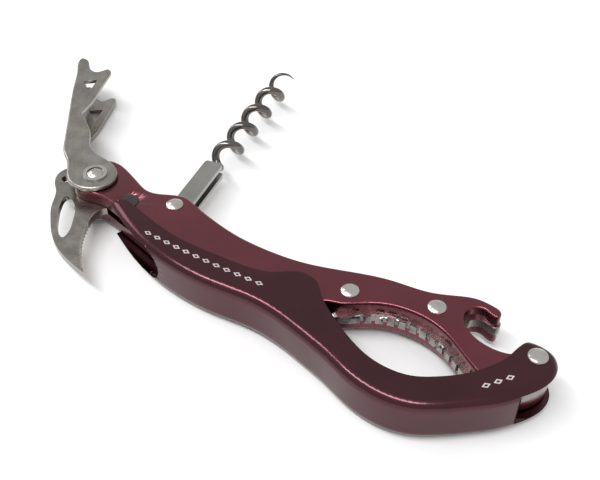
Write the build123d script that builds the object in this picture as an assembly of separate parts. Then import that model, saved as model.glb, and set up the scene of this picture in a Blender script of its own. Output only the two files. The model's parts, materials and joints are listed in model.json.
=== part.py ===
"""Lever-arm waiter's corkscrew with a jaw arm, modelled as it is assembled.

Every piece is drawn about the lever pivot: X runs along the handle to the arm
pivot, Y runs across the handle towards its back, where the worm folds in, and
Z is the pivots' own direction with the middle of the handle at zero. At the
end the whole tool is moved so that its box stands on z = 0 about the origin.
"""

from build123d import *
from math import atan2, cos, degrees, hypot, pi, radians, sin
import os

# Driving dimensions, in millimetres and degrees
CORE_THICK = 2.4
PLATE_THICK = 3.6
CHANNEL_GAP = 0.3  # between a plate and the channel beside it
SHEET = 1.2  # thickness of the lever's and the arm's flanges
WEB_THICK = 1.4  # thickness of the arm's web
HEAD_RISE = 0.9  # how far a pivot's domed head stands above the channel
HEAD_GAP = 0.05  # running gap under a head
RUNNING = 0.05  # radial clearance of a hole that turns on a pin
PIN_RADIUS = 1.5
PLATE_ROUND = 0.65
ARM_ROUND = 2.4  # of the arm's outer edges

LEVER_PIVOT = (0.0, 0.0)
WORM_PIVOT = (25.4, 1.9)
FRONT_RIVET = (80.8, -2.2)
REAR_RIVET = (101.3, 3.5)
ARM_PIVOT = (127.5, 0.0)
ARM_CATCH = (14.0, -3.0)
BLADE_STOP = (8.7, 3.9)

LEVER_ANGLE = 125.0  # direction of the open lever
WORM_ANGLE = 97.0  # direction of the open worm
WORM_FOLDED = 2.5  # direction of the worm when it lies in the handle's back

WORM_WIRE = 1.17  # radius of the wire
WORM_RADIUS = 2.77  # from the worm's axis to the middle of its wire
WORM_PITCH = 9.87
WORM_START = 27.0  # from the worm pivot to where the helix begins
WORM_REACH = 73.2  # from the worm pivot to the point
WORM_START_ANGLE = 290.0
WORM_TAPER = 8.0  # length along the axis over which the wire thins to a point
WORM_TIP_RADIUS = 0.15
SHANK_LENGTH = 23.0
SHANK_WIDE = 5.4
SHANK_THICK = 4.6
SHANK_CORNER = 1.0
WIRE_GAP = 0.005  # between the wire's root and the sheet folded round it
ROOT_START = 6.0  # from the worm pivot to the end of the wire's straight root
HEEL_RADIUS = 3.3

BLADE_THICK = 2.0
BLADE_SWEEP = 33.4  # radius kept free round the lever pivot for the blade's tip
BLADE_HOLE = 1.35
SERRATION_PITCH = 1.25
SERRATION_COUNT = 14
SERRATION_RADIUS = 0.5
SERRATION_START = 2.2  # along the cutting edge, from the tip

TOOTH_PITCH = 2.8
TOOTH_COUNT = 12
TOOTH_START = 1.68  # along the jaw's crest to the first gullet
GULLET_WIDE = 1.0
GULLET_DEEP = 0.9
SPRING_Y = (-2.7, -1.7)  # the leaf spring's lower and upper side
SPRING_X = (20.5, 42.0)
SPRING_GAP = 0.05  # between the spring and the plate on each side
SPRING_CORNER = 0.45

HEAD_RIM = 0.2  # straight edge under a dome
CROWN = 0.8  # radius of the small flat on top of a dome
LEVER_HEAD = 2.1
PLATE_HEAD = 2.25
ARM_HEAD = 2.35
CATCH_RADIUS = 2.5
CATCH_DEEP = 2.4
CATCH_RISE = 0.15
CATCH_ROUND = 0.12
STOP_RADIUS = 1.3
STOP_DEEP = 1.5
RING_RADII = (2.35, 3.3)
RING_RISE = 0.45
LEVER_WASHER = 4.5
ARM_WASHER = 3.2
BLADE_WASHER = 4.0
WASHER_THICK = 0.2
BLADE_WASHER_THICK = 0.15

FORK_END = 28.0  # where the slot between the prongs starts to close
WEB_END = 128.0  # where the web stops, beside the arm pivot
WEB_START = 11.5  # from the pivot to where the lever's web begins
WEB_ARCH = 4.2
LEVER_ROUND = 0.6
LEVER_BACK = 10.2  # from the lever's pivot to the outside of its web

PAST = 14.0  # how far a cut that opens to the outside runs past the handle's middle line
THROUGH = 10.0  # half height of a cut that goes through everything

# Heights above the middle of the handle
core_top = CORE_THICK / 2
plate_top = core_top + PLATE_THICK
channel_in = plate_top + CHANNEL_GAP
channel_out = channel_in + SHEET
head_top = channel_out + HEAD_RISE
worm_room = WORM_RADIUS + WORM_WIRE + 0.2  # half the width of the worm's pocket
shank_room = SHANK_THICK / 2 + 0.15
fold_room = 0.2  # free on each side of the worm's shank in the plates
point_room = 0.6  # free past the folded worm's point


def flat_side_edges(solid, height):
    """The edges of a raised outline on its upper and its lower flat side."""
    return [e for e in solid.edges() if abs(abs(e.position_at(0.3).Z) - height) < 0.01
            and abs(abs(e.position_at(0.6).Z) - height) < 0.01]


def prism(face, low, high):
    """A flat outline raised from one height to another."""
    return extrude(Pos(0, 0, low) * face, amount=high - low, dir=(0, 0, 1))


def disc(radius, place, low, high):
    """A round block that stands on the XY plane's direction."""
    return Pos(place[0], place[1], (low + high) / 2) * Cylinder(radius, high - low)


def block(x_low, x_high, y_low, y_high, half_height):
    """A box that reaches equally far above and below the middle."""
    middle = ((x_low + x_high) / 2, (y_low + y_high) / 2)
    return Pos(*middle, 0) * Box(x_high - x_low, y_high - y_low, 2 * half_height)


def outline(*edges):
    """The flat face inside a closed run of lines and curves."""
    return make_face(Wire([edge for run in edges for edge in run.edges()]))


def along(angle, shape):
    """A shape drawn along +X, turned to lie at an angle about the lever pivot."""
    return Rot(0, 0, angle) * shape


def at_worm(angle, shape):
    """A shape drawn along +X from the worm pivot, turned to the worm's angle."""
    return Pos(*WORM_PIVOT, 0) * Rot(0, 0, angle) * shape


# ---------------------------------------------------------------- handle plates

BACK = (  # from behind the lever pivot over the worm's hump to the hook's tip
    (-5.9, 0), (-5.0, 4.9), (-2.4, 7.7), (1.2, 8.3), (6, 6.9), (11, 4.7), (16, 3.1),
    (20, 4.1), (25.5, 5.9), (30, 4.8), (37, 2.6), (46, 0.6), (56, 0), (66, 0.8),
    (77, 3.7), (88, 6.4), (98, 7.6), (103, 9.4), (108.3, 11.2), (112.8, 11.0),
    (115.4, 9.6), (115.2, 8.0), (113.2, 8.1),
)
NOTCH = (  # inside the hook and on to the top of the arm pivot's end
    (111.2, 8.8), (109.1, 8.1), (107.9, 5.9), (108.6, 3.2), (110.8, 0.8), (114.5, -0.9),
    (118.5, -1.3), (122.3, -0.3), (124.8, 2.3), (127.8, 3.7),
)
REAR = (  # round the arm pivot's end to the rear corner of the jaw
    (130.9, 1.6), (131.3, -2.0), (128.8, -7.0), (124.2, -10.3), (119.8, -10.6),
)
JAW = (  # the upper side of the jaw, an arch between two corners
    (116.6, -9.2), (112, -6.3), (107, -3.1), (102, -1.2), (96, -0.7), (90, -1.8),
    (84, -5.0), (80.5, -7.0), (77.8, -7.8),
)
BELLY = (  # the lower edge, which lies inside the arm
    (75.4, -9.2), (73, -12), (68.5, -13.9), (61, -13.8), (49, -14.6), (41, -14),
    (33, -12.4), (24, -9.9), (17, -7.8), (11.5, -6.4), (6, -5.2), (0, -5.9),
    (-4.2, -4.6),
)


def handle_face():
    return make_face(Spline(*BACK, *NOTCH, *REAR, *JAW, *BELLY, periodic=True))


def worm_pocket():
    """Room for the folded worm: open to the back, because it swings in from there."""
    start = SHANK_LENGTH - 3
    return at_worm(WORM_FOLDED, block(start, WORM_REACH + point_room, -worm_room, PAST, worm_room))


def shank_pocket():
    """Room for the shank as it turns from lying in the back to standing out of it."""
    half = SHANK_WIDE / 2 + fold_room
    heel = disc(HEEL_RADIUS + fold_room, WORM_PIVOT, -shank_room, shank_room)
    folded = at_worm(WORM_FOLDED, block(0, SHANK_LENGTH, -half, PAST, shank_room))
    standing = at_worm(WORM_ANGLE, block(0, PAST, -half, half, shank_room))
    return heel + folded + standing


def on_side(side, low, high):
    """Two heights above the middle, or as far below it when side is -1."""
    return sorted((side * low, side * high))


def make_plate(side):
    """One plate: a thick shell, milled inside for the worm and its shank."""
    plate = prism(handle_face(), *on_side(side, core_top, plate_top))
    outer = plate.faces().sort_by(Axis.Z)[-1 if side > 0 else 0]
    plate = fillet(outer.edges(), PLATE_ROUND)
    plate -= worm_pocket()
    plate -= shank_pocket()
    for place in (LEVER_PIVOT, WORM_PIVOT, FRONT_RIVET, REAR_RIVET, ARM_PIVOT):
        plate -= disc(PIN_RADIUS, place, *on_side(side, 0, plate_top + 1))
    plate -= disc(CATCH_RADIUS, ARM_CATCH, *on_side(side, plate_top - CATCH_DEEP, plate_top + 1))
    plate -= disc(STOP_RADIUS, BLADE_STOP, *on_side(side, 0, core_top + STOP_DEEP))
    return plate


# ------------------------------------------------------------------------ core

def tooth_edge():
    """The crest line of the jaw's teeth, parallel to the plates' jaw."""
    return Spline(
        (115.6, -10.2), (111.4, -7.5), (106.6, -4.5), (101.8, -2.5), (96, -2.0),
        (90.4, -3.1), (84.6, -6.2), (81.1, -8.3), (78.6, -9.0),
    )


def gullet(crest, distance):
    """One slot across the crest line, square to it."""
    place = crest.position_at(distance, position_mode=PositionMode.LENGTH)
    run = crest.tangent_at(distance, position_mode=PositionMode.LENGTH)
    turn = degrees(atan2(run.Y, run.X))
    return Pos(place.X, place.Y, 0) * Rot(0, 0, turn) * Box(GULLET_WIDE, 2 * GULLET_DEEP, THROUGH)


def core_face():
    """The handle's outline with a longer hook, a tighter notch and the strip of teeth."""
    hook = ((113.2, 11.0), (115.8, 9.3), (115.5, 7.6), (113.4, 7.6))
    notch = ((111.7, 8.1), (109.9, 7.6), (108.7, 5.9), (109.2, 3.6), (111.2, 1.4), (114.6, -0.4),
             (118.5, -0.9), (122.3, -0.3), (124.8, 2.3), (127.8, 3.7))
    face = make_face(Spline(*BACK[:-4], *hook, *notch, *REAR, *JAW, *BELLY, periodic=True))
    strip = outline(
        tooth_edge(),
        Polyline((78.6, -9.0), (84, 0), (108, 0), (118, -6), (115.6, -10.2)),
    )
    return face + strip


def make_core():
    """The steel core: toothed jaw, cap-lifter hook and seat of the leaf spring."""
    core = prism(core_face(), -core_top, core_top)
    crest = tooth_edge()
    for number in range(TOOTH_COUNT):
        core -= gullet(crest, TOOTH_START + TOOTH_PITCH * number)
    core -= worm_pocket()
    core -= shank_pocket()
    core -= block(0, SPRING_X[1], SPRING_Y[0], PAST, core_top)
    core -= disc(BLADE_SWEEP, LEVER_PIVOT, -core_top, core_top)
    for place in (FRONT_RIVET, REAR_RIVET, ARM_PIVOT):
        core -= disc(PIN_RADIUS, place, -core_top, core_top)
    return core


def make_worm_spring():
    """A leaf that lies on the core and holds the worm's heel."""
    leaf = block(*SPRING_X, *SPRING_Y, core_top - SPRING_GAP)
    return fillet(leaf.edges().filter_by(Axis.Z).sort_by(Axis.X)[:2], SPRING_CORNER)


# ------------------------------------------------------------- pins and studs

def dome_profile(shaft, head, base, top):
    """Half the section of a pin with two domed heads, for turning about the pin."""
    rim = base + HEAD_RIM
    centre = (top**2 + CROWN**2 - rim**2 - head**2) / (2 * (top - rim))
    bow_radius = hypot(head, rim - centre)
    middle = (atan2(head, rim - centre) + atan2(CROWN, top - centre)) / 2
    bow = (bow_radius * sin(middle), centre + bow_radius * cos(middle))
    return outline(
        Polyline((CROWN, -top), (0, -top), (0, top), (CROWN, top)),
        ThreePointArc((CROWN, top), bow, (head, rim)),
        Polyline((head, rim), (head, base), (shaft, base), (shaft, -base), (head, -base),
                 (head, -rim)),
        ThreePointArc((head, -rim), (bow[0], -bow[1]), (CROWN, -top)),
    )


def domed_pin(place, head, base, top):
    """A pin with two domed heads whose undersides are at plus and minus base."""
    profile = Rot(90, 0, 0) * dome_profile(PIN_RADIUS, head, base, top)
    return Pos(*place, 0) * revolve(profile, Axis.Z, 360)


def ring(place, inner, outer, low, high):
    """A flat washer between two heights."""
    return disc(outer, place, low, high) - disc(inner, place, low - 1, high + 1)


def make_arm_catch():
    """A plastic stud sunk in the plate, under the tip of the arm's prong."""
    stud = disc(CATCH_RADIUS, ARM_CATCH, plate_top - CATCH_DEEP, plate_top + CATCH_RISE)
    return fillet(stud.faces().sort_by(Axis.Z)[-1].edges(), CATCH_ROUND)


# ------------------------------------------------------------------- lower arm

ARM_INNER = (  # from below the prong's tip over the hump and round the jaw to the pivot
    (10.4, -13.0), (11.0, -8.0), (11.9, -5.9), (13.4, -4.7), (15.5, -4.6), (19, -5.5), (26, -7.5),
    (33, -9.0), (41, -9.5), (50, -9.35), (57, -8.9), (61.5, -7.7), (65, -5.4),
    (68, -3.9), (71, -3.8), (73.6, -5.3), (76, -8), (81, -12.1), (88, -16.4),
    (95, -19.3), (100, -19.9), (105, -19.2), (110, -16.6), (115, -12.8), (119, -8.2),
    (121.7, -3.3), (122.9, 0.8), (124.2, 3.6), (127.0, 8.0),
)
ARM_OUTER = (  # round the pivot's end, along the jaw's bulge and the grip past the prong
    (123.6, 4.2), (127.6, 4.4), (130.9, 3.0), (132.7, 0), (132.9, -3), (131.6, -7),
    (128.6, -11.4), (125.2, -15.2), (121.6, -18.2), (118, -20.9), (114.4, -23.4),
    (109.3, -26.2), (103, -27.7), (97, -27.4), (91.2, -25.9), (85.5, -23.6), (77, -20.9),
    (69, -18.8), (61, -17.9), (53, -18.3), (47, -18.5), (41, -18.1), (33, -16.8),
    (25, -14.4), (18, -11.3), (10, -7.0), (2, -1.5),
)
ARM_BEYOND = ((4, 14), (30, 24), (75, 27), (112, 19), (119.6, 9.5))  # far inside the handle


def shifted(points, distance):
    """The points between the first and last of a run, moved square to it, to its right."""
    moved = []
    for before, here, after in zip(points, points[1:], points[2:]):
        run = Vector(*after) - Vector(*before)
        moved.append(Vector(*here) + Vector(run.Y, -run.X).normalized() * distance)
    return moved


def arm_hollow():
    """All that lies between the arm's flanges, up to the inside of its web."""
    inside = shifted(ARM_OUTER[4:-2], WEB_THICK)
    first, last = inside[0], inside[-1]
    corners = [last, (last.X, PAST), (first.X, PAST), first]
    face = outline(Spline(*inside), Polyline(*corners))
    hollow = prism(face, -channel_in, channel_in)
    beside_pivot = block(WEB_END, ARM_PIVOT[0] + PAST, -2 * PAST, PAST, channel_in)
    return hollow + beside_pivot + fork_slot()


def make_arm():
    """The lower arm: a channel round the handle's belly, forked at its free end.

    Its outer side is well rounded and its inner side is cut square through the flanges.
    """
    face = make_face(Spline(*ARM_OUTER, *ARM_BEYOND, periodic=True))
    body = prism(face, -channel_out, channel_out)
    body = fillet(flat_side_edges(body, channel_out), ARM_ROUND)
    first, last = ARM_INNER[0], ARM_INNER[-1]
    below = -4 * PAST
    around = ((last[0] + 3 * PAST, last[1]), (last[0] + 3 * PAST, below), (first[0], below))
    side = outline(Spline(*ARM_INNER), Polyline(last, *around, first))
    arm = body & prism(side, -THROUGH, THROUGH)
    arm -= arm_hollow()
    arm -= disc(PIN_RADIUS + RUNNING, ARM_PIVOT, -THROUGH, THROUGH)
    return arm


def fork_slot():
    """The round-ended slot that divides the arm's free end into two prongs."""
    end = Pos(FORK_END, -PAST, 0) * Rot(90, 0, 0) * Cylinder(channel_in, PAST)
    return end + block(0, FORK_END, -2 * PAST, PAST, channel_in)


# ----------------------------------------------------------------------- lever

WINDOW = ((45.8, 7.3), (46.0, 2.9), (39.6, 4.9))  # the small opening beside the step
LEVER_OUTER = (  # over the web's side, from behind the pivot to the fishtail
    (-6, 0), (-5.4, 3.6), (-2.6, 6.9), (2.5, 8.1), (7.5, 8.7), (11, 9.9),
    (15, LEVER_BACK), (30, LEVER_BACK), (45, 10), (53, 9.8), (57.2, 9.8), (59.1, 8.7),
    (58.4, 7.2), (55.5, 6.2), (52.2, 5.2), (50.8, 3.4), (51.6, 1.4), (52.0, -0.1),
    (51.0, -0.9),
)
LEVER_INNER = (  # back along the open side: fishtail, step and waist
    (49, -0.7), (46, 0.3), (41, 1.8), (34.5, 3.9), (31, 5.6), (29.2, 6.1),
    (27.5, 5.6), (23.7, 4.2), (20.1, 3.1), (15.5, 2.8), (11.4, 1.8), (8.5, -0.4),
    (6.1, -2.9), (3.5, -4.9), (0, -6), (-4.24, -4.24),
)


def make_lever():
    """The lever: a folded channel that straddles the handle's back when closed."""
    face = make_face(Spline(*LEVER_OUTER, *LEVER_INNER, periodic=True))
    lever = prism(face, -channel_out, channel_out)
    lever = fillet(flat_side_edges(lever, channel_out), LEVER_ROUND)
    web_inside = LEVER_BACK - SHEET
    lever -= block(-PAST, 5 * PAST, -PAST, web_inside, channel_in)
    lever -= block(-PAST, WEB_START, 0, PAST, channel_in)
    lever -= Pos(WEB_START, LEVER_BACK, 0) * Rot(90, 0, 0) * Cylinder(WEB_ARCH, 6 * SHEET)
    lever -= prism(make_face(Polyline(*WINDOW, close=True)), -THROUGH, THROUGH)
    lever -= disc(PIN_RADIUS + RUNNING, LEVER_PIVOT, -THROUGH, THROUGH)
    return along(LEVER_ANGLE, lever)


# ------------------------------------------------------------------ foil blade

def blade_edge():
    """The blade's concave cutting edge, from its tip to its heel."""
    return Spline((17.8, -27.6), (12.2, -21.9), (9.2, -17.8), (7.2, -13.5), (6, -9.5),
                  (6.3, -7.0), (7.4, -5.4))


def make_blade():
    """A hawkbill blade on the lever's pin, with a finger ear on the far side."""
    spine = Spline((-10.5, -5.8), (-8.5, -8.2), (-6.5, -12), (-3, -16.5), (1, -20.6),
                   (6, -24), (12, -26.3), (17.8, -27.6))
    ear = Spline((-7.0, 4.2), (-11.0, 3.9), (-13.4, 2.0), (-13.9, -0.8), (-12.8, -3.4),
                 (-10.5, -5.8))
    face = outline(spine, blade_edge(), Line((7.4, -5.4), (3.5, 4.87)),
                   ThreePointArc((3.5, 4.87), (-1.3, 5.86), (-4.2, 4.28)),
                   Line((-4.2, 4.28), (-7.0, 4.2)), ear)
    blade = prism(face, -BLADE_THICK / 2, BLADE_THICK / 2)
    window = make_face(Spline(
        (-5.4, -6.9), (-2.6, -7.8), (0.4, -10.3), (2.6, -13.9), (4.6, -18.2), (4.6, -20.2),
        (1.5, -18.7), (-2.5, -14), (-5.0, -10), periodic=True))
    blade -= prism(window, -THROUGH, THROUGH)
    blade -= disc(BLADE_HOLE, (-10.5, -1.3), -THROUGH, THROUGH)
    edge = blade_edge()
    for number in range(SERRATION_COUNT):
        distance = SERRATION_START + SERRATION_PITCH * number
        place = edge.position_at(distance, position_mode=PositionMode.LENGTH)
        blade -= disc(SERRATION_RADIUS, (place.X, place.Y), -THROUGH, THROUGH)
    blade -= disc(PIN_RADIUS + RUNNING, LEVER_PIVOT, -THROUGH, THROUGH)
    return blade


# ------------------------------------------------------------- worm and shank

def make_shank():
    """Sheet folded round the worm's straight end, open along one side."""
    half = SHANK_WIDE / 2
    heel = disc(HEEL_RADIUS, (0, 0), -SHANK_THICK / 2, SHANK_THICK / 2)
    bar = block(0, SHANK_LENGTH, -half, half, SHANK_THICK / 2)
    bar = fillet(bar.edges().filter_by(Axis.Z).sort_by(Axis.X)[-2:], SHANK_CORNER)
    shank = heel + bar
    shank -= block(-PAST, 2 * SHANK_LENGTH, -PAST, half - SHEET, WORM_WIRE + WIRE_GAP)
    shank -= disc(PIN_RADIUS + RUNNING, (0, 0), -THROUGH, THROUGH)
    return at_worm(WORM_ANGLE, shank)


def make_worm():
    """A right-handed helix of round wire with a straight root and a thinning point."""
    turn = radians(WORM_START_ANGLE)
    start = (WORM_RADIUS * cos(turn), WORM_RADIUS * sin(turn), WORM_START)
    slope = (-WORM_RADIUS * sin(turn), WORM_RADIUS * cos(turn), WORM_PITCH / (2 * pi))
    root_end = (0, 0, SHANK_LENGTH)
    root = Line((0, 0, ROOT_START), root_end)
    lead = Spline(root_end, start, tangents=[(0, 0, 1), slope])
    full = WORM_REACH - WORM_START - WORM_TAPER
    tip_turn = WORM_START_ANGLE + 360 * full / WORM_PITCH
    coil = Rot(0, 0, WORM_START_ANGLE) * Helix(WORM_PITCH, full, WORM_RADIUS)
    coil = Pos(0, 0, WORM_START) * coil
    taper = Rot(0, 0, tip_turn) * Helix(WORM_PITCH, WORM_TAPER, WORM_RADIUS)
    taper = Pos(0, 0, WORM_START + full) * taper
    path = Wire([root, lead, coil.edge()])
    body = sweep(Plane((0, 0, ROOT_START)) * Circle(WORM_WIRE), path=path)
    thick = Plane(taper @ 0, z_dir=taper % 0) * Circle(WORM_WIRE)
    thin = Plane(taper @ 1, z_dir=taper % 1) * Circle(WORM_TIP_RADIUS)
    point = sweep([thick, thin], path=taper, multisection=True)
    across = Vector(-sin(radians(WORM_ANGLE)), cos(radians(WORM_ANGLE)), 0)
    axis = Vector(cos(radians(WORM_ANGLE)), sin(radians(WORM_ANGLE)), 0)
    return Plane(origin=(*WORM_PIVOT, 0), x_dir=across, z_dir=axis).location * (body + point)


# -------------------------------------------------------------------- assembly

def mirrored(shape):
    """The same piece on the other side of the handle's middle."""
    return mirror(shape, about=Plane.XY)


def all_pieces():
    catch = make_arm_catch()
    hole = PIN_RADIUS + RUNNING
    lever_ring = ring(LEVER_PIVOT, *RING_RADII, channel_out, channel_out + RING_RISE)
    lever_washer = ring(LEVER_PIVOT, hole, LEVER_WASHER, plate_top, plate_top + WASHER_THICK)
    arm_washer = ring(ARM_PIVOT, hole, ARM_WASHER, plate_top, plate_top + WASHER_THICK)
    blade_washer = ring(LEVER_PIVOT, hole, BLADE_WASHER, core_top - BLADE_WASHER_THICK, core_top)
    stop_half = core_top + STOP_DEEP
    plate_head = (PLATE_HEAD, plate_top, plate_top + HEAD_RISE)
    return {
        "upper_plate": make_plate(1),
        "lower_plate": make_plate(-1),
        "core_plate": make_core(),
        "worm_spring": make_worm_spring(),
        "blade_stop_pin": disc(STOP_RADIUS, BLADE_STOP, -stop_half, stop_half),
        "lever_pivot_pin": domed_pin(LEVER_PIVOT, LEVER_HEAD, channel_out + HEAD_GAP, head_top),
        "worm_pivot_pin": domed_pin(WORM_PIVOT, *plate_head),
        "front_rivet": domed_pin(FRONT_RIVET, *plate_head),
        "rear_rivet": domed_pin(REAR_RIVET, *plate_head),
        "arm_pivot_pin": domed_pin(ARM_PIVOT, ARM_HEAD, channel_out + HEAD_GAP, head_top),
        "arm_catch_upper": catch,
        "arm_catch_lower": mirrored(catch),
        "lever_washer_upper": lever_washer,
        "lever_washer_lower": mirrored(lever_washer),
        "arm_washer_upper": arm_washer,
        "arm_washer_lower": mirrored(arm_washer),
        "blade_washer_upper": blade_washer,
        "blade_washer_lower": mirrored(blade_washer),
        "arm_channel": make_arm(),
        "lever_channel": make_lever(),
        "lever_ring_upper": lever_ring,
        "lever_ring_lower": mirrored(lever_ring),
        "foil_blade": make_blade(),
        "worm_shank": make_shank(),
        "worm": make_worm(),
    }


def box_middle(shapes):
    """The middle of the box round all the pieces, seen from above, to a tenth of a millimetre."""
    boxes = [shape.bounding_box() for shape in shapes]
    x_middle = (min(b.min.X for b in boxes) + max(b.max.X for b in boxes)) / 2
    y_middle = (min(b.min.Y for b in boxes) + max(b.max.Y for b in boxes)) / 2
    return round(x_middle, 1), round(y_middle, 1)


def main():
    pieces = all_pieces()
    x_middle, y_middle = box_middle(pieces.values())
    print("the lever pivot lies at", -x_middle, -y_middle, head_top)
    os.makedirs("parts", exist_ok=True)
    for name, shape in pieces.items():
        export_step(Pos(-x_middle, -y_middle, head_top) * shape, f"parts/{name}.step")


main()
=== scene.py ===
# %% [markdown]
# # A waiter's corkscrew with a jaw arm
# The tool lies on its side, opened: burgundy anodised plates over a steel core,
# a jaw arm of the same aluminium, a tumbled steel lever, a foil blade and a
# right-handed worm. The frame gives every piece its place, so this lesson only
# shapes what is seen and gives each metal its own surface.

import json
import math

import bpy
from mathutils import Matrix, Vector

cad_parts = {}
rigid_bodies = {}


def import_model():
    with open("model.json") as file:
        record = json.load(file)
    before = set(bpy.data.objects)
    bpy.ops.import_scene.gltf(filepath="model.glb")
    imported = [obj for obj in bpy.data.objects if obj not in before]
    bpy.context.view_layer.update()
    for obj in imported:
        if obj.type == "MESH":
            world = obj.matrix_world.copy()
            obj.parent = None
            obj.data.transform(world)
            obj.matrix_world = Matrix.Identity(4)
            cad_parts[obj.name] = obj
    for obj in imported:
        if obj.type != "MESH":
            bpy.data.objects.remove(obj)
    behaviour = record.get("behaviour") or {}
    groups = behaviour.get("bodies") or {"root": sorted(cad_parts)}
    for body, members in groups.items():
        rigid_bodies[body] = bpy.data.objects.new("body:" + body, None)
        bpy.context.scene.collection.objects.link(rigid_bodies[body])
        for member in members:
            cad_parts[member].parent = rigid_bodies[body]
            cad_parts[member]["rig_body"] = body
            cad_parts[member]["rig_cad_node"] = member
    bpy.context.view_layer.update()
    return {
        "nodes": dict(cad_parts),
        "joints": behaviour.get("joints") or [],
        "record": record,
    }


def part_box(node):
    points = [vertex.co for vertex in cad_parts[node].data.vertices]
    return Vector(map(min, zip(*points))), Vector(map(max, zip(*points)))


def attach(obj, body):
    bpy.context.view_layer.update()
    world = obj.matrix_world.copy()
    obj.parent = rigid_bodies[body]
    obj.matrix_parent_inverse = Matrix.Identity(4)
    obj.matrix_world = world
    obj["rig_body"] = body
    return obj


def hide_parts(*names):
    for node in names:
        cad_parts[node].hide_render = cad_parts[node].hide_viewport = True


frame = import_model()
MM = 0.001

# %% [markdown]
# The camera stands to the front and right of the arm pivot and looks down at
# about 44 degrees. Its place is given in millimetres from the middle of the
# tool's box, on the surface that the tool lies on. A Track To constraint could
# aim it at an empty, but a direction turned into a rotation needs no second object.

# %% Camera
CAMERA_PLACE = Vector((100.6, -162.4, 175.0)) * MM
CAMERA_LOOK = Vector((-0.3622, 0.6215, -0.6947))
CAMERA_LENS = 54.66
SENSOR_WIDTH = 36.0
NEAREST_SEEN = 5 * MM

camera_data = bpy.data.cameras.new("studio_camera")
camera_data.lens = CAMERA_LENS
camera_data.sensor_width = SENSOR_WIDTH
camera_data.clip_start = NEAREST_SEEN
camera = bpy.data.objects.new("studio_camera", camera_data)
bpy.context.collection.objects.link(camera)
camera.location = CAMERA_PLACE
camera.rotation_euler = CAMERA_LOOK.to_track_quat("-Z", "Y").to_euler()
bpy.context.scene.camera = camera
down = math.degrees(math.asin(-CAMERA_LOOK.normalized().z))
print("camera looks down at", round(down, 1))

# %% [markdown]
# The tool lies on white paper. A real sweep curves up behind the object, but a
# wide flat plane is enough for a view from above. In a low view its far edge
# shows as a pale horizon.

# %% Paper
FLOOR_HALF = 3.0
PAPER_WHITE = (0.93, 0.93, 0.93, 1)
PAPER_ROUGHNESS = 0.9


def matte_white():
    """The matte white of the paper that the tool lies on."""
    paper = bpy.data.materials.new("studio_paper")
    paper.use_nodes = True
    shader = paper.node_tree.nodes["Principled BSDF"]
    shader.inputs["Base Color"].default_value = PAPER_WHITE
    shader.inputs["Roughness"].default_value = PAPER_ROUGHNESS
    return paper


bpy.ops.mesh.primitive_plane_add(size=2 * FLOOR_HALF, location=(0, 0, 0))
floor = bpy.context.object
floor.name = "studio_floor"
floor.data.materials.append(matte_white())
print("paper", 2 * FLOOR_HALF, "metres wide")

# %% [markdown]
# Two soft boxes give the light of a small product studio. Point lamps would
# leave hard spots on polished metal, while area lights reflect as broad shapes.
# The key is a long strip overhead, a little in front and along the handle, so
# that it draws a line down the rounded edges. A box on the left adds a soft
# shadow.

# %% Soft boxes


def soft_box(name, place, size, power):
    """A soft box of a width and a height that stands at a place and faces the tool."""
    data = bpy.data.lights.new(name, "AREA")
    data.shape = "RECTANGLE"
    data.size = size[0]
    data.size_y = size[1]
    data.energy = power
    lamp = bpy.data.objects.new(name, data)
    bpy.context.collection.objects.link(lamp)
    lamp.location = place
    lamp.rotation_euler = (-Vector(place)).to_track_quat("-Z", "Y").to_euler()


soft_box("key_light", place=(-0.08, -0.36, 0.8), size=(0.95, 0.14), power=6)
soft_box("side_light", place=(-0.75, 0.05, 0.45), size=(0.4, 0.4), power=1.5)

# %% [markdown]
# The room around is an even white, which fills the shadows and gives the metal
# something to reflect. A panorama of a real room would do it too, but a plain
# colour needs no file. The Standard view keeps the paper white.

# %% Room
ROOM_WHITE = (1.0, 1.0, 1.0, 1)
ROOM_STRENGTH = 0.62

studio_world = bpy.data.worlds.new("studio_world")
studio_world.use_nodes = True
sky = studio_world.node_tree.nodes["Background"]
sky.inputs["Color"].default_value = ROOM_WHITE
sky.inputs["Strength"].default_value = ROOM_STRENGTH
bpy.context.scene.world = studio_world
bpy.context.scene.view_settings.view_transform = "Standard"
print("room strength", ROOM_STRENGTH)

# %% [markdown]
# Metal is never one flat colour. Three effects are shared by the finishes:
# a fine grain, as blasting or tumbling leaves; drawn scratches, as a belt
# leaves; and wear, which thins the finish on edges. The nodes could be repeated
# in every material, but a node group is built once and each finish gives it its
# own values. The grain comes first, as two noises of very different size.

# %% Grain


def new_group(name, inputs, outputs):
    """An empty shader group with named inputs and outputs."""
    tree = bpy.data.node_groups.new(name, "ShaderNodeTree")
    for label, kind, value in inputs:
        socket = tree.interface.new_socket(name=label, in_out="INPUT", socket_type=kind)
        if value is not None:
            socket.default_value = value
    for label, kind in outputs:
        tree.interface.new_socket(name=label, in_out="OUTPUT", socket_type=kind)
    start = tree.nodes.new("NodeGroupInput")
    end = tree.nodes.new("NodeGroupOutput")
    return tree, start, end


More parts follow.
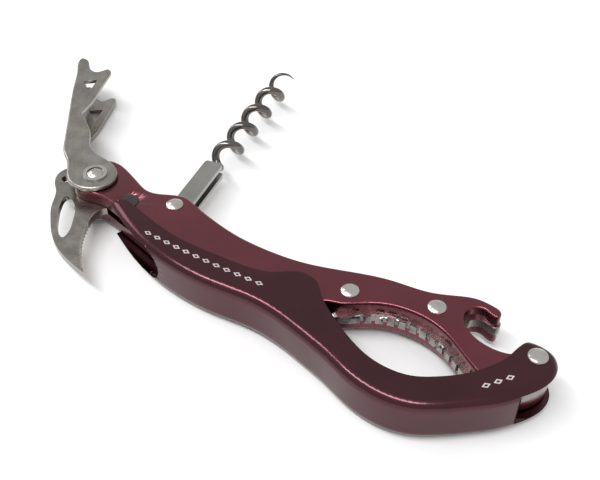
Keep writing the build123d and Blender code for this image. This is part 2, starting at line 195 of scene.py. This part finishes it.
def grain_group():
    """Fine pits at one scale over soft clouds at another, both between 0 and 1."""
    tree, start, end = new_group(
        "metal_grain",
        [("Vector", "NodeSocketVector", None), ("Fine", "NodeSocketFloat", 6000.0),
         ("Broad", "NodeSocketFloat", 120.0)],
        [("Pits", "NodeSocketFloat"), ("Clouds", "NodeSocketFloat")])
    fine = tree.nodes.new("ShaderNodeTexNoise")
    fine.inputs["Detail"].default_value = 2.0
    broad = tree.nodes.new("ShaderNodeTexNoise")
    broad.inputs["Detail"].default_value = 4.0
    tree.links.new(start.outputs["Vector"], fine.inputs["Vector"])
    tree.links.new(start.outputs["Vector"], broad.inputs["Vector"])
    tree.links.new(start.outputs["Fine"], fine.inputs["Scale"])
    tree.links.new(start.outputs["Broad"], broad.inputs["Scale"])
    tree.links.new(fine.outputs["Fac"], end.inputs["Pits"])
    tree.links.new(broad.outputs["Fac"], end.inputs["Clouds"])
    return tree


METAL_GRAIN = grain_group()
print("group", METAL_GRAIN.name)

# %% [markdown]
# A grinding belt leaves straight fine lines on the lever, the blade and the
# shank. A wave texture would be too regular, so a noise is turned to the belt's
# direction and stretched many times along it.

# %% Drawn lines


def scratch_group():
    """Straight fine lines along one direction, as a grinding belt leaves them."""
    tree, start, end = new_group(
        "drawn_lines",
        [("Vector", "NodeSocketVector", None), ("Turn", "NodeSocketVector", (0, 0, 0)),
         ("Stretch", "NodeSocketVector", (60.0, 5000.0, 5000.0))],
        [("Lines", "NodeSocketFloat")])
    turned = tree.nodes.new("ShaderNodeMapping")
    stretched = tree.nodes.new("ShaderNodeVectorMath")
    stretched.operation = "MULTIPLY"
    noise = tree.nodes.new("ShaderNodeTexNoise")
    noise.inputs["Scale"].default_value = 1.0
    noise.inputs["Detail"].default_value = 3.0
    tree.links.new(start.outputs["Vector"], turned.inputs["Vector"])
    tree.links.new(start.outputs["Turn"], turned.inputs["Rotation"])
    tree.links.new(turned.outputs["Vector"], stretched.inputs[0])
    tree.links.new(start.outputs["Stretch"], stretched.inputs[1])
    tree.links.new(stretched.outputs["Vector"], noise.inputs["Vector"])
    tree.links.new(noise.outputs["Fac"], end.inputs["Lines"])
    return tree


DRAWN_LINES = scratch_group()
print("group", DRAWN_LINES.name)

# %% [markdown]
# Handling rubs the finish on edges first. Pointiness would depend on how fine
# the mesh is, so the wear compares the true normal with one rounded by a Bevel
# node: where the two differ, there is an edge.

# %% Edge wear
BEVEL_SAMPLES = 6


def wear_group():
    """How far an edge is rubbed, from the turn of the surface within a small radius."""
    tree, start, end = new_group(
        "edge_wear",
        [("Radius", "NodeSocketFloat", 0.4 * MM), ("Start", "NodeSocketFloat", 0.02),
         ("Full", "NodeSocketFloat", 0.25), ("Broken", "NodeSocketFloat", 0.5)],
        [("Wear", "NodeSocketFloat")])
    rounded = tree.nodes.new("ShaderNodeBevel")
    rounded.samples = BEVEL_SAMPLES
    plain = tree.nodes.new("ShaderNodeNewGeometry")
    match = tree.nodes.new("ShaderNodeVectorMath")
    match.operation = "DOT_PRODUCT"
    turn = tree.nodes.new("ShaderNodeMath")
    turn.operation = "SUBTRACT"
    turn.inputs[0].default_value = 1.0
    ramp = tree.nodes.new("ShaderNodeMapRange")
    patches = tree.nodes.new("ShaderNodeMath")
    patches.operation = "MULTIPLY"
    tree.links.new(start.outputs["Radius"], rounded.inputs["Radius"])
    tree.links.new(rounded.outputs["Normal"], match.inputs[0])
    tree.links.new(plain.outputs["Normal"], match.inputs[1])
    tree.links.new(match.outputs["Value"], turn.inputs[1])
    tree.links.new(turn.outputs["Value"], ramp.inputs["Value"])
    tree.links.new(start.outputs["Start"], ramp.inputs["From Min"])
    tree.links.new(start.outputs["Full"], ramp.inputs["From Max"])
    tree.links.new(ramp.outputs["Result"], patches.inputs[0])
    tree.links.new(start.outputs["Broken"], patches.inputs[1])
    tree.links.new(patches.outputs["Value"], end.inputs["Wear"])
    return tree


EDGE_WEAR = wear_group()
print("group", EDGE_WEAR.name)

# %% [markdown]
# A finish is one material: two tones of the metal mixed by the grain, a
# roughness that follows it, and a bump from its pits. Wiring each by hand would
# repeat the same dozen steps, so small helpers do them. These place nodes and
# spread a noise, whose values stay near its middle, over the range asked for.

# %% Helpers for nodes and values
NOISE_LOW = 0.3
NOISE_HIGH = 0.7


def add(material, kind):
    """A node of one kind in a material."""
    return material.node_tree.nodes.new(kind)


def join(material, output, socket):
    """A link between two sockets of a material."""
    material.node_tree.links.new(output, socket)


def place_group(material, tree, values):
    """A shared group in a material, with its own values."""
    node = add(material, "ShaderNodeGroup")
    node.node_tree = tree
    for label, value in values.items():
        node.inputs[label].default_value = value
    return node


def spread(material, source, low, high):
    """A value between 0 and 1 spread between two others."""
    node = add(material, "ShaderNodeMapRange")
    node.inputs["From Min"].default_value = NOISE_LOW
    node.inputs["From Max"].default_value = NOISE_HIGH
    node.inputs["To Min"].default_value = low
    node.inputs["To Max"].default_value = high
    join(material, source, node.inputs["Value"])
    return node.outputs["Result"]


print("value helpers", [helper.__name__ for helper in (add, join, place_group, spread)])

# %% [markdown]
# Colours are mixed by the Mix node, which has sockets for every kind of value.
# Several share one name, so the colour ones are reached by their number. A bump
# turns the same grain into relief that is too fine to model.

# %% Helpers for colour and relief
MIX_FACTOR = 0
MIX_FIRST = 6
MIX_SECOND = 7
MIX_RESULT = 2


def tone(material, source, dark, light):
    """Two colours mixed by a value."""
    node = add(material, "ShaderNodeMix")
    node.data_type = "RGBA"
    node.inputs[MIX_FIRST].default_value = (*dark, 1)
    node.inputs[MIX_SECOND].default_value = (*light, 1)
    join(material, source, node.inputs[MIX_FACTOR])
    return node.outputs[MIX_RESULT]


def worn(material, wear, colour, bare):
    """A colour that gives way to bare metal where the finish is rubbed."""
    node = add(material, "ShaderNodeMix")
    node.data_type = "RGBA"
    node.inputs[MIX_SECOND].default_value = (*bare, 1)
    join(material, wear, node.inputs[MIX_FACTOR])
    join(material, colour, node.inputs[MIX_FIRST])
    return node.outputs[MIX_RESULT]


def bump(material, source, strength, distance):
    """A bump of the surface from a height value."""
    node = add(material, "ShaderNodeBump")
    node.inputs["Strength"].default_value = strength
    node.inputs["Distance"].default_value = distance
    join(material, source, node.inputs["Height"])
    return node.outputs["Normal"]


print("colour helpers", [helper.__name__ for helper in (tone, worn, bump)])

# %% [markdown]
# The plates and the arm are anodised aluminium, dyed burgundy: metal with a
# clear hard skin. The dye could be a clear layer over bare metal, but a coloured
# metal under a coat looks much the same and is quicker. The arm is the darker one:
# partly its own darker tone, partly painted shade, darkened so that its side
# walls, which reflect the bright paper, stay as dim as shaded walls.

# %% Anodised aluminium
COAT_ROUGHNESS = 0.12
RELIEF_DEPTH = 0.02 * MM
FINISHES = {}


def finish(name, dark, light, rough, metallic=1.0, coat=0.0, fine=6000.0, broad=120.0,
           lines=None, relief=0.1, bare=None, worn_part=0.5, wear_radius=0.4 * MM):
    """One metal or plastic finish, with its grain, lines and rubbed edges."""
    material = bpy.data.materials.new(name)
    material.use_nodes = True
    shader = material.node_tree.nodes["Principled BSDF"]
    shader.inputs["Metallic"].default_value = metallic
    shader.inputs["Coat Weight"].default_value = coat
    shader.inputs["Coat Roughness"].default_value = COAT_ROUGHNESS
    place = add(material, "ShaderNodeTexCoord").outputs["Object"]
    grain = place_group(material, METAL_GRAIN, {"Fine": fine, "Broad": broad})
    join(material, place, grain.inputs["Vector"])
    texture = grain.outputs["Pits"]
    if lines is not None:
        drawn = place_group(material, DRAWN_LINES, {"Turn": lines[0], "Stretch": lines[1]})
        join(material, place, drawn.inputs["Vector"])
        texture = drawn.outputs["Lines"]
    colour = tone(material, spread(material, grain.outputs["Clouds"], 0, 1), dark, light)
    if bare is not None:
        wear = place_group(material, EDGE_WEAR, {"Broken": worn_part, "Radius": wear_radius})
        colour = worn(material, wear.outputs["Wear"], colour, bare)
    join(material, colour, shader.inputs["Base Color"])
    join(material, spread(material, texture, rough[0], rough[1]), shader.inputs["Roughness"])
    join(material, bump(material, texture, relief, RELIEF_DEPTH), shader.inputs["Normal"])
    FINISHES[name] = material


finish("plate_burgundy", dark=(0.150, 0.031, 0.042), light=(0.182, 0.038, 0.052),
       rough=(0.24, 0.30), coat=0.6, fine=5200.0, broad=70.0, relief=0.05,
       bare=(0.30, 0.09, 0.11), worn_part=0.1)
# The arm's colours are partly its own darker tone and partly painted shade for its side
# walls.
finish("arm_burgundy", dark=(0.066, 0.021, 0.027), light=(0.082, 0.026, 0.033),
       rough=(0.20, 0.26), coat=0.35, fine=5200.0, broad=60.0, relief=0.05,
       bare=(0.16, 0.06, 0.07), worn_part=0.1)
print("finishes", sorted(FINISHES))

# %% [markdown]
# The core and its spring are tumbled steel, and the lever, the blade and the
# shank were drawn over a belt. The lines run along the lever and the shank, and
# across the blade. They could follow an unwrapped map, but these parts are flat,
# so a direction in the tool's own space is enough.

# %% Plate and sheet steel
ALONG_LEVER = ((0, 0, math.radians(-125)), (90.0, 3500.0, 3500.0))
ALONG_WORM = ((0, 0, math.radians(-97)), (120.0, 5000.0, 5000.0))
ACROSS_BLADE = ((0, 0, math.radians(-30)), (150.0, 5500.0, 5500.0))

finish("core_steel", dark=(0.22, 0.21, 0.20), light=(0.46, 0.44, 0.42), rough=(0.20, 0.34),
       fine=2600.0, broad=300.0, relief=0.25, bare=(0.8, 0.79, 0.77), worn_part=0.5,
       wear_radius=0.25 * MM)
finish("spring_steel", dark=(0.28, 0.27, 0.26), light=(0.40, 0.39, 0.38), rough=(0.25, 0.35))
finish("lever_steel", dark=(0.27, 0.255, 0.235), light=(0.40, 0.38, 0.355),
       rough=(0.24, 0.36), fine=2400.0, broad=260.0, lines=ALONG_LEVER, relief=0.2,
       bare=(0.62, 0.61, 0.59), worn_part=0.6)
finish("blade_steel", dark=(0.24, 0.22, 0.20), light=(0.36, 0.34, 0.31), rough=(0.25, 0.33),
       broad=350.0, lines=ACROSS_BLADE, relief=0.1, bare=(0.75, 0.74, 0.72), worn_part=0.6,
       wear_radius=0.25 * MM)
finish("shank_steel", dark=(0.33, 0.32, 0.30), light=(0.43, 0.42, 0.40), rough=(0.26, 0.38),
       lines=ALONG_WORM, relief=0.2, bare=(0.66, 0.65, 0.63), worn_part=0.5)
print("finishes", sorted(FINISHES))

# %% [markdown]
# Rivets are pressed from bright wire, and the worm is dark polished wire. Both
# could share one steel, but the two differ so much in tone that each has its
# own. The washers are nylon and the two catches black plastic.

# %% Wire, nylon and plastic
finish("rivet_steel", dark=(0.52, 0.50, 0.47), light=(0.64, 0.62, 0.59), rough=(0.16, 0.26),
       fine=1800.0, broad=400.0, relief=0.1)
finish("worm_steel", dark=(0.11, 0.10, 0.095), light=(0.20, 0.19, 0.18), rough=(0.10, 0.20),
       lines=ALONG_WORM, relief=0.12)
finish("washer_nylon", dark=(0.50, 0.48, 0.44), light=(0.60, 0.58, 0.54), rough=(0.4, 0.5),
       metallic=0.0)
finish("catch_black", dark=(0.010, 0.010, 0.011), light=(0.018, 0.018, 0.019),
       rough=(0.35, 0.5), metallic=0.0, fine=3000.0, relief=0.2)
print("finishes", sorted(FINISHES))

# %% [markdown]
# Every piece of the tool gets one finish. A list from piece to finish is easier
# to read and to change than a material set piece by piece.

# %% Which finish each piece has
FINISH_OF = {
    "upper_plate": "plate_burgundy", "lower_plate": "plate_burgundy",
    "core_plate": "core_steel", "worm_spring": "spring_steel",
    "blade_stop_pin": "rivet_steel", "lever_pivot_pin": "rivet_steel",
    "worm_pivot_pin": "rivet_steel", "front_rivet": "rivet_steel",
    "rear_rivet": "rivet_steel", "arm_pivot_pin": "rivet_steel",
    "arm_catch_upper": "catch_black", "arm_catch_lower": "catch_black",
    "lever_washer_upper": "washer_nylon", "lever_washer_lower": "washer_nylon",
    "arm_washer_upper": "washer_nylon", "arm_washer_lower": "washer_nylon",
    "blade_washer_upper": "washer_nylon", "blade_washer_lower": "washer_nylon",
    "arm_channel": "arm_burgundy", "lever_channel": "lever_steel",
    "lever_ring_upper": "rivet_steel", "lever_ring_lower": "rivet_steel",
    "foil_blade": "blade_steel", "worm_shank": "shank_steel", "worm": "worm_steel",
}
print("pieces to dress", len(FINISH_OF))

# %% [markdown]
# The frame's own pieces keep their shape. Their meshes come as loose triangles,
# which show every facet. Each is copied, its shared corners are welded, and
# faces that meet at a small angle are shaded as one smooth surface. The normals
# are then weighted by face size, so that flats stay flat beside rounded edges.

# %% Weld and smooth
WELD = 0.001 * MM
SMOOTH_BELOW = 28
FLAT_WEIGHT = 100


def only(piece):
    """The one selected and active object."""
    bpy.ops.object.select_all(action="DESELECT")
    piece.select_set(True)
    bpy.context.view_layer.objects.active = piece


def welded_copy(node, name):
    """A copy of one of the frame's pieces with its corners welded and shaded smooth."""
    only(frame["nodes"][node])
    bpy.ops.object.duplicate()
    piece = bpy.context.object
    piece.name = name
    piece.parent = None
    bpy.ops.object.mode_set(mode="EDIT")
    bpy.ops.mesh.select_all(action="SELECT")
    bpy.ops.mesh.remove_doubles(threshold=WELD)
    bpy.ops.object.mode_set(mode="OBJECT")
    bpy.ops.object.shade_smooth_by_angle(angle=math.radians(SMOOTH_BELOW))
    bpy.ops.object.modifier_add(type="WEIGHTED_NORMAL")
    piece.modifiers[-1].weight = FLAT_WEIGHT
    piece.modifiers[-1].keep_sharp = True
    bpy.ops.object.modifier_apply(modifier=piece.modifiers[-1].name)
    return piece


print("faces that meet below", SMOOTH_BELOW, "degrees are smoothed")

# %% [markdown]
# A copy takes its finish, rides on the same body as the piece that it stands
# for, and hides that piece. A duplicate also takes over the frame's own tags,
# which say that it is the original, so they come off the copy. The lozenges are
# made later, as thin pieces of their own that ride on the arm.


def dress(piece, finish_name):
    """One finish all over a piece, in place of what it had."""
    piece.data.materials.clear()
    piece.data.materials.append(FINISHES[finish_name])


body_of = {}
for body, members in frame["record"]["behaviour"]["bodies"].items():
    for member in members:
        body_of[member] = body

for node, finish_name in FINISH_OF.items():
    piece = welded_copy(node, node + "_shown")
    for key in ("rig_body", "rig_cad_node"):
        if key in piece:
            del piece[key]
    dress(piece, finish_name)
    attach(piece, body_of[node])
    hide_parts(node)
    print(piece.name, len(piece.data.vertices), "corners")

# %% [markdown]
# The arm carries a row of small lozenges, etched through the dye so that the
# pale metal shows. A mask in the arm's material could draw them, but a thin
# piece of its own keeps its edge sharp in every view. A lozenge is a square on
# its point, pressed narrow, its middle taken out by an inset, and given a hair
# of height, so that it lies over the arm's face and doesn't flicker with it.

# %% One lozenge
MARK_REACH = 1.15 * MM
MARK_WIDTH = 0.62
MARK_LINE = 0.3 * MM
MARK_HEIGHT = 0.02 * MM
MARK_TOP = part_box("arm_channel")[1].z


def etched_lozenge(name, place, turn):
    """A lozenge-shaped line on the arm's upper side, at a place and turned along the arm."""
    bpy.ops.object.select_all(action="DESELECT")
    bpy.ops.mesh.primitive_circle_add(
        vertices=4, radius=MARK_REACH, fill_type="NGON", location=(0, 0, 0))
    mark = bpy.context.object
    mark.name = name
    bpy.ops.object.mode_set(mode="EDIT")
    bpy.ops.mesh.select_all(action="SELECT")
    bpy.ops.transform.resize(value=(1.0, MARK_WIDTH, 1.0))
    bpy.ops.mesh.inset(thickness=MARK_LINE, depth=0)
    bpy.ops.mesh.delete(type="FACE")
    bpy.ops.mesh.select_all(action="SELECT")
    bpy.ops.mesh.extrude_region_move(TRANSFORM_OT_translate={"value": (0, 0, MARK_HEIGHT)})
    bpy.ops.mesh.select_all(action="SELECT")
    bpy.ops.mesh.normals_make_consistent(inside=False)
    bpy.ops.object.mode_set(mode="OBJECT")
    mark.data.transform(Matrix.Translation(place) @ Matrix.Rotation(turn, 4, "Z"))
    dress(mark, "etched_mark")
    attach(mark, "arm")


finish("etched_mark", dark=(0.50, 0.44, 0.44), light=(0.66, 0.60, 0.60), rough=(0.45, 0.6),
       metallic=0.3, relief=0.2)
print("marks lie at height", round(MARK_TOP / MM, 2), "mm")

# %% [markdown]
# The grip's row follows a shallow curve, measured from the lever's pivot, whose
# place the frame gives. An array along a curve would bend the marks, so each is
# placed by the parabola's height and turned to its slope.

# %% Lozenges along the grip
JOINT_PLACES = {joint["name"]: joint["pos_m"] for joint in frame["joints"]}
LEVER_PIVOT = Vector(JOINT_PLACES["lever_fold"])
GRIP_MARKS = 12
GRIP_START = 27
GRIP_STEP = 3.1
ARC_MIDDLE = 50
ARC_LOWEST = -12.6
ARC_RISE = 0.0016


def on_arm(along, across):
    """A place on the arm's upper side, in millimetres from the lever's pivot."""
    spot = LEVER_PIVOT + Vector((along, across, 0)) * MM
    spot.z = MARK_TOP
    return spot


for number in range(GRIP_MARKS):
    along = GRIP_START + GRIP_STEP * number
    across = ARC_LOWEST + ARC_RISE * (along - ARC_MIDDLE) ** 2
    slope = math.atan(2 * ARC_RISE * (along - ARC_MIDDLE))
    etched_lozenge(f"grip_mark_{number + 1:02d}", on_arm(along, across), slope)
print("marks along the grip", GRIP_MARKS)

# %% [markdown]
# Three more lozenges mark the pivot's end, in a straight row that leans with
# the arm there.

# %% Lozenges at the pivot
PIVOT_MARKS = 3
PIVOT_START = (120.4, -13.4)
PIVOT_STEP = (1.9, 2.35)
PIVOT_LEAN = math.radians(51)

for number in range(PIVOT_MARKS):
    along = PIVOT_START[0] + PIVOT_STEP[0] * number
    across = PIVOT_START[1] + PIVOT_STEP[1] * number
    etched_lozenge(f"pivot_mark_{number + 1}", on_arm(along, across), PIVOT_LEAN)
print("marks at the pivot", PIVOT_MARKS)
